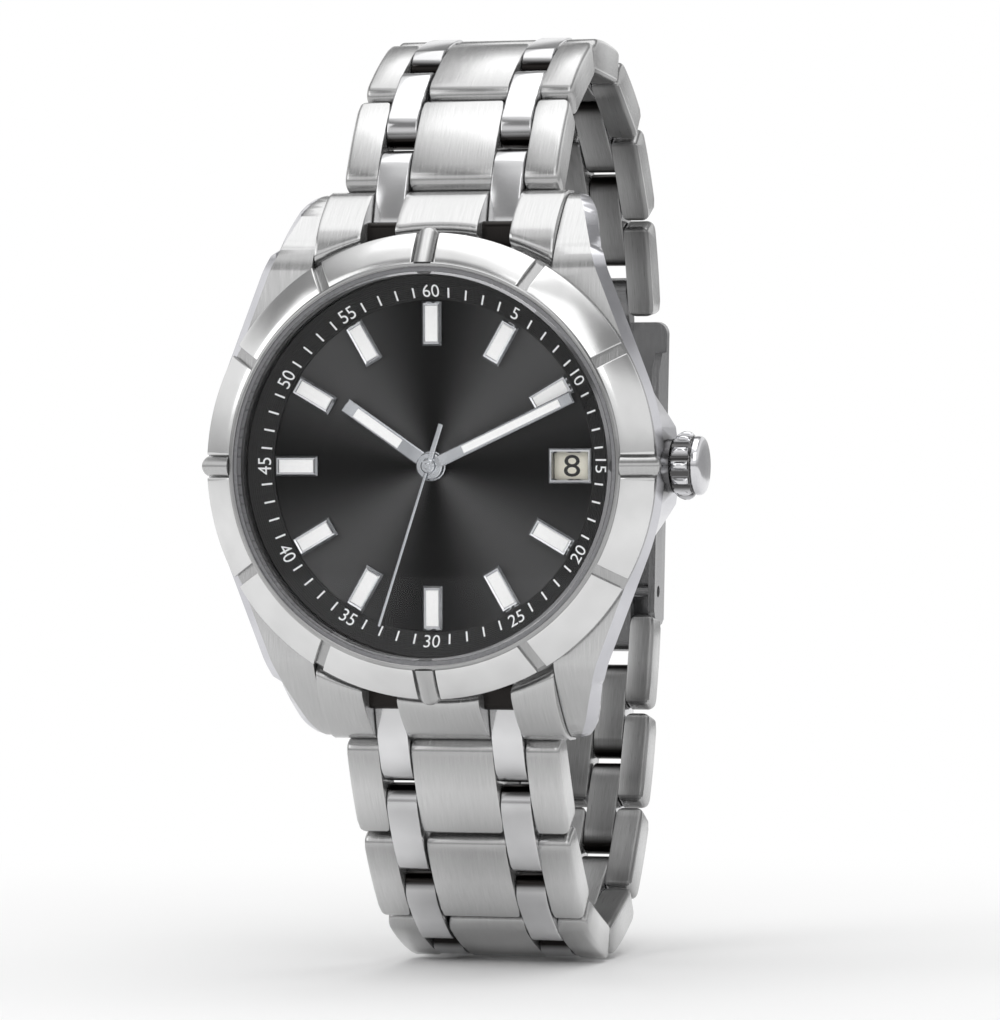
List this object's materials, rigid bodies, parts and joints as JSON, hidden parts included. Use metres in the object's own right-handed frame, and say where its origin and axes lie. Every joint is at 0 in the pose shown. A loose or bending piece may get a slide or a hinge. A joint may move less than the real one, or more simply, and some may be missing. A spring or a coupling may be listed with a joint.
{
  "type": "wristwatch",
  "caption": "Self-winding steel wristwatch with date window, grooved fixed bezel, fluted crown and closed link bracelet with folding clasp.",
  "frame": {"origin": "centre of the case back's flat face", "axes": "+X to 3 o'clock and the crown, +Z to 12 o'clock, +Y out of the case back into the wrist, so the dial faces -Y"},
  "size_m": [0.0448, 0.0512, 0.082],
  "materials": {
    "brushed_steel": "fine satin brushing",
    "polished_steel": "mirror polish",
    "sapphire": "clear, coated",
    "seal_nylon": "translucent nylon",
    "seal_rubber": "black rubber",
    "dial_black": "black sunburst lacquer",
    "flange_black": "matt black",
    "applied_silver": "polished",
    "lume_white": "matt luminous fill",
    "date_cream": "matt cream print",
    "movement_brass": "rhodium plated brass",
    "rotor_steel": "brushed heavy metal"
  },
  "bodies": {
    "watch_head": {"mid_case": "brushed_steel", "bezel": "polished_steel", "crystal": "sapphire", "crystal_gasket": "seal_nylon", "case_back": "brushed_steel", "case_back_gasket": "seal_rubber", "flange_ring": "flange_black", "dial": "dial_black", "hour_markers": "applied_silver", "marker_lume": "lume_white", "date_window_frame": "applied_silver", "crown_tube": "brushed_steel", "movement_ring": "movement_brass", "main_plate": "movement_brass", "train_bridge": "movement_brass", "balance_cock": "movement_brass", "spring_bars": "brushed_steel", "end_link_12": "brushed_steel", "end_link_6": "brushed_steel"},
    "hour_hand": {"hour_hand": "applied_silver", "hour_hand_lume": "lume_white"},
    "minute_hand": {"minute_hand": "applied_silver", "minute_hand_lume": "lume_white"},
    "seconds_hand": {"seconds_hand": "applied_silver"},
    "date_disc": {"date_disc": "date_cream"},
    "rotor": {"rotor": "rotor_steel"},
    "balance_wheel": {"balance_wheel": "movement_brass"},
    "barrel": {"mainspring_barrel": "movement_brass"},
    "crown_slide": {"crown_gasket": "seal_rubber"},
    "crown": {"crown": "polished_steel", "winding_stem": "brushed_steel"},
    "pair_12_1": {"pair_12_1": "polished_steel"},
    "row_12_1": {"row_12_1": "brushed_steel"},
    "pair_12_2": {"pair_12_2": "polished_steel"},
    "row_12_2": {"row_12_2": "brushed_steel"},
    "pair_12_3": {"pair_12_3": "polished_steel"},
    "row_12_3": {"row_12_3": "brushed_steel"},
    "pair_12_4": {"pair_12_4": "polished_steel"},
    "row_12_4": {"row_12_4": "brushed_steel"},
    "pair_12_5": {"pair_12_5": "polished_steel"},
    "row_12_5": {"row_12_5": "brushed_steel"},
    "pair_12_6": {"pair_12_6": "polished_steel"},
    "row_12_6": {"row_12_6": "brushed_steel"},
    "pair_6_1": {"pair_6_1": "polished_steel"},
    "row_6_1": {"row_6_1": "brushed_steel"},
    "pair_6_2": {"pair_6_2": "polished_steel"},
    "row_6_2": {"row_6_2": "brushed_steel"},
    "pair_6_3": {"pair_6_3": "polished_steel"},
    "row_6_3": {"row_6_3": "brushed_steel"},
    "pair_6_4": {"pair_6_4": "polished_steel"},
    "row_6_4": {"row_6_4": "brushed_steel"},
    "pair_6_5": {"pair_6_5": "polished_steel"},
    "row_6_5": {"row_6_5": "brushed_steel"},
    "pair_6_6": {"pair_6_6": "polished_steel"},
    "row_6_6": {"row_6_6": "brushed_steel"},
    "pair_6_7": {"pair_6_7": "polished_steel"},
    "row_6_7": {"row_6_7": "brushed_steel"},
    "clasp_cover": {"clasp_cover": "brushed_steel"},
    "clasp_outer_blade": {"clasp_outer_blade": "brushed_steel"},
    "clasp_inner_blade": {"clasp_inner_blade": "brushed_steel"}
  },
  "joints": [
    {"name": "minute_hand_turn", "type": "hinge", "parent": "watch_head", "child": "minute_hand", "pos_m": [0, -0.007, 0], "axis": [0, 1, 0], "continuous": true},
    {"name": "hour_hand_turn", "type": "hinge", "parent": "watch_head", "child": "hour_hand", "pos_m": [0, -0.007, 0], "axis": [0, 1, 0], "continuous": true},
    {"name": "date_disc_turn", "type": "hinge", "parent": "watch_head", "child": "date_disc", "pos_m": [0, -0.007, 0], "axis": [0, 1, 0], "continuous": true},
    {"name": "seconds_hand_turn", "type": "hinge", "parent": "watch_head", "child": "seconds_hand", "pos_m": [0, -0.007, 0], "axis": [0, 1, 0], "continuous": true},
    {"name": "barrel_turn", "type": "hinge", "parent": "watch_head", "child": "barrel", "pos_m": [-0.0036, -0.004, 0.0066], "axis": [0, 1, 0], "continuous": true},
    {"name": "rotor_turn", "type": "hinge", "parent": "watch_head", "child": "rotor", "pos_m": [0, -0.002, 0], "axis": [0, 1, 0], "continuous": true},
    {"name": "balance_swing", "type": "hinge", "parent": "watch_head", "child": "balance_wheel", "pos_m": [0.0034, -0.004, -0.007], "axis": [0, 1, 0], "range_deg": [-270, 270], "stiffness_Nm_per_rad": 0.0000016},
    {"name": "crown_pull", "type": "slide", "parent": "watch_head", "child": "crown_slide", "axis": [1, 0, 0], "range_m": [0, 0.0009]},
    {"name": "crown_turn", "type": "hinge", "parent": "crown_slide", "child": "crown", "pos_m": [0.0209, -0.004, 0], "axis": [1, 0, 0], "continuous": true},
    {"name": "hinge_pair_12_1", "type": "hinge", "parent": "watch_head", "child": "pair_12_1", "pos_m": [0, -0.0006, 0.0207], "axis": [1, 0, 0], "range_deg": [0, 5.04]},
    {"name": "hinge_row_12_1", "type": "hinge", "parent": "pair_12_1", "child": "row_12_1", "pos_m": [0, 0.0012, 0.02537], "axis": [1, 0, 0], "range_deg": [0, 5.05]},
    {"name": "hinge_pair_12_2", "type": "hinge", "parent": "row_12_1", "child": "pair_12_2", "pos_m": [0, 0.00353, 0.02909], "axis": [1, 0, 0], "range_deg": [0, 13.55]},
    {"name": "hinge_row_12_2", "type": "hinge", "parent": "pair_12_2", "child": "row_12_2", "pos_m": [0, 0.00711, 0.03259], "axis": [1, 0, 0], "range_deg": [0, 13.55]},
    {"name": "hinge_pair_12_3", "type": "hinge", "parent": "row_12_2", "child": "pair_12_3", "pos_m": [0, 0.01089, 0.03485], "axis": [1, 0, 0], "range_deg": [0, 17.8]},
    {"name": "hinge_row_12_3", "type": "hinge", "parent": "pair_12_3", "child": "row_12_3", "pos_m": [0, 0.01576, 0.03597], "axis": [1, 0, 0], "range_deg": [0, 17.8]},
    {"name": "hinge_pair_12_4", "type": "hinge", "parent": "row_12_3", "child": "pair_12_4", "pos_m": [0, 0.02014, 0.03561], "axis": [1, 0, 0], "range_deg": [0, 14.05]},
    {"name": "hinge_row_12_4", "type": "hinge", "parent": "pair_12_4", "child": "row_12_4", "pos_m": [0, 0.02487, 0.034], "axis": [1, 0, 0], "range_deg": [0, 14.05]},
    {"name": "hinge_pair_12_5", "type": "hinge", "parent": "row_12_4", "child": "pair_12_5", "pos_m": [0, 0.02857, 0.03161], "axis": [1, 0, 0], "range_deg": [0, 12.05]},
    {"name": "hinge_row_12_5", "type": "hinge", "parent": "pair_12_5", "child": "row_12_5", "pos_m": [0, 0.03211, 0.02808], "axis": [1, 0, 0], "range_deg": [0, 12.05]},
    {"name": "hinge_pair_12_6", "type": "hinge", "parent": "row_12_5", "child": "pair_12_6", "pos_m": [0, 0.03451, 0.02439], "axis": [1, 0, 0], "range_deg": [0, 9.3]},
    {"name": "hinge_row_12_6", "type": "hinge", "parent": "pair_12_6", "child": "row_12_6", "pos_m": [0, 0.03653, 0.01982], "axis": [1, 0, 0], "range_deg": [0, 9.3]},
    {"name": "hinge_pair_6_1", "type": "hinge", "parent": "watch_head", "child": "pair_6_1", "pos_m": [0, -0.0006, -0.0207], "axis": [1, 0, 0], "range_deg": [-1.83, 0]},
    {"name": "hinge_row_6_1", "type": "hinge", "parent": "pair_6_1", "child": "row_6_1", "pos_m": [0, 0.00093, -0.02546], "axis": [1, 0, 0], "range_deg": [-1.83, 0]},
    {"name": "hinge_pair_6_2", "type": "hinge", "parent": "row_6_1", "child": "pair_6_2", "pos_m": [0, 0.00283, -0.02943], "axis": [1, 0, 0], "range_deg": [-5.58, 0]},
    {"name": "hinge_row_6_2", "type": "hinge", "parent": "pair_6_2", "child": "row_6_2", "pos_m": [0, 0.00543, -0.0337], "axis": [1, 0, 0], "range_deg": [-5.58, 0]},
    {"name": "hinge_pair_6_3", "type": "hinge", "parent": "row_6_2", "child": "pair_6_3", "pos_m": [0, 0.00806, -0.03723], "axis": [1, 0, 0], "range_deg": [-15.33, 0]},
    {"name": "hinge_row_6_3", "type": "hinge", "parent": "pair_6_3", "child": "row_6_3", "pos_m": [0, 0.01201, -0.0403], "axis": [1, 0, 0], "range_deg": [-15.33, 0]},
    {"name": "hinge_pair_6_4", "type": "hinge", "parent": "row_6_3", "child": "pair_6_4", "pos_m": [0, 0.01607, -0.04198], "axis": [1, 0, 0], "range_deg": [-21.58, 0]},
    {"name": "hinge_row_6_4", "type": "hinge", "parent": "pair_6_4", "child": "row_6_4", "pos_m": [0, 0.02107, -0.04207], "axis": [1, 0, 0], "range_deg": [-21.58, 0]},
    {"name": "hinge_pair_6_5", "type": "hinge", "parent": "row_6_4", "child": "pair_6_5", "pos_m": [0, 0.02519, -0.04052], "axis": [1, 0, 0], "range_deg": [-17.08, 0]},
    {"name": "hinge_row_6_5", "type": "hinge", "parent": "pair_6_5", "child": "row_6_5", "pos_m": [0, 0.02915, -0.03747], "axis": [1, 0, 0], "range_deg": [-17.08, 0]},
    {"name": "hinge_pair_6_6", "type": "hinge", "parent": "row_6_5", "child": "pair_6_6", "pos_m": [0, 0.03169, -0.03387], "axis": [1, 0, 0], "range_deg": [-7.08, 0]},
    {"name": "hinge_row_6_6", "type": "hinge", "parent": "pair_6_6", "child": "row_6_6", "pos_m": [0, 0.03405, -0.02947], "axis": [1, 0, 0], "range_deg": [-7.08, 0]},
    {"name": "hinge_pair_6_7", "type": "hinge", "parent": "row_6_6", "child": "pair_6_7", "pos_m": [0, 0.03564, -0.02536], "axis": [1, 0, 0], "range_deg": [-3.08, 0]},
    {"name": "hinge_row_6_7", "type": "hinge", "parent": "pair_6_7", "child": "row_6_7", "pos_m": [0, 0.03718, -0.02061], "axis": [1, 0, 0], "range_deg": [-3.08, 0]},
    {"name": "hinge_clasp_cover", "type": "hinge", "parent": "row_12_6", "child": "clasp_cover", "pos_m": [0, 0.03763, 0.01556], "axis": [1, 0, 0], "range_deg": [0, 11.01]},
    {"name": "clasp_fold_low", "type": "hinge", "parent": "clasp_cover", "child": "clasp_outer_blade", "pos_m": [0, 0.03896, -0.01201], "axis": [1, 0, 0], "range_deg": [0, 170.01]},
    {"name": "clasp_fold_high", "type": "hinge", "parent": "clasp_outer_blade", "child": "clasp_inner_blade", "pos_m": [0, 0.03768, 0.00895], "axis": [1, 0, 0], "range_deg": [-170.01, 0]}
  ],
  "couplings": [
    {"joint": "hour_hand_turn", "follows": "minute_hand_turn", "ratio": 0.083333},
    {"joint": "date_disc_turn", "follows": "minute_hand_turn", "ratio": 0.0013441},
    {"joint": "barrel_turn", "follows": "seconds_hand_turn", "ratio": -0.0020833},
    {"joint": "hinge_row_12_1", "follows": "hinge_pair_12_1", "ratio": 1},
    {"joint": "hinge_pair_12_2", "follows": "hinge_pair_12_1", "ratio": 2.6855},
    {"joint": "hinge_row_12_2", "follows": "hinge_pair_12_1", "ratio": 2.6855},
    {"joint": "hinge_pair_12_3", "follows": "hinge_pair_12_1", "ratio": 3.5282},
    {"joint": "hinge_row_12_3", "follows": "hinge_pair_12_1", "ratio": 3.5282},
    {"joint": "hinge_pair_12_4", "follows": "hinge_pair_12_1", "ratio": 2.7846},
    {"joint": "hinge_row_12_4", "follows": "hinge_pair_12_1", "ratio": 2.7846},
    {"joint": "hinge_pair_12_5", "follows": "hinge_pair_12_1", "ratio": 2.388},
    {"joint": "hinge_row_12_5", "follows": "hinge_pair_12_1", "ratio": 2.388},
    {"joint": "hinge_pair_12_6", "follows": "hinge_pair_12_1", "ratio": 1.8427},
    {"joint": "hinge_row_12_6", "follows": "hinge_pair_12_1", "ratio": 1.8427},
    {"joint": "hinge_pair_6_1", "follows": "hinge_pair_12_1", "ratio": -0.36162},
    {"joint": "hinge_row_6_1", "follows": "hinge_pair_12_1", "ratio": -0.36162},
    {"joint": "hinge_pair_6_2", "follows": "hinge_pair_12_1", "ratio": -1.1052},
    {"joint": "hinge_row_6_2", "follows": "hinge_pair_12_1", "ratio": -1.1052},
    {"joint": "hinge_pair_6_3", "follows": "hinge_pair_12_1", "ratio": -3.0385},
    {"joint": "hinge_row_6_3", "follows": "hinge_pair_12_1", "ratio": -3.0385},
    {"joint": "hinge_pair_6_4", "follows": "hinge_pair_12_1", "ratio": -4.2778},
    {"joint": "hinge_row_6_4", "follows": "hinge_pair_12_1", "ratio": -4.2778},
    {"joint": "hinge_pair_6_5", "follows": "hinge_pair_12_1", "ratio": -3.3855},
    {"joint": "hinge_row_6_5", "follows": "hinge_pair_12_1", "ratio": -3.3855},
    {"joint": "hinge_pair_6_6", "follows": "hinge_pair_12_1", "ratio": -1.4026},
    {"joint": "hinge_row_6_6", "follows": "hinge_pair_12_1", "ratio": -1.4026},
    {"joint": "hinge_pair_6_7", "follows": "hinge_pair_12_1", "ratio": -0.60948},
    {"joint": "hinge_row_6_7", "follows": "hinge_pair_12_1", "ratio": -0.60948},
    {"joint": "hinge_clasp_cover", "follows": "hinge_pair_12_1", "ratio": 2.1812},
    {"joint": "clasp_fold_low", "follows": "hinge_pair_12_1", "ratio": 33.709},
    {"joint": "clasp_fold_high", "follows": "hinge_pair_12_1", "ratio": -33.709}
  ]
}
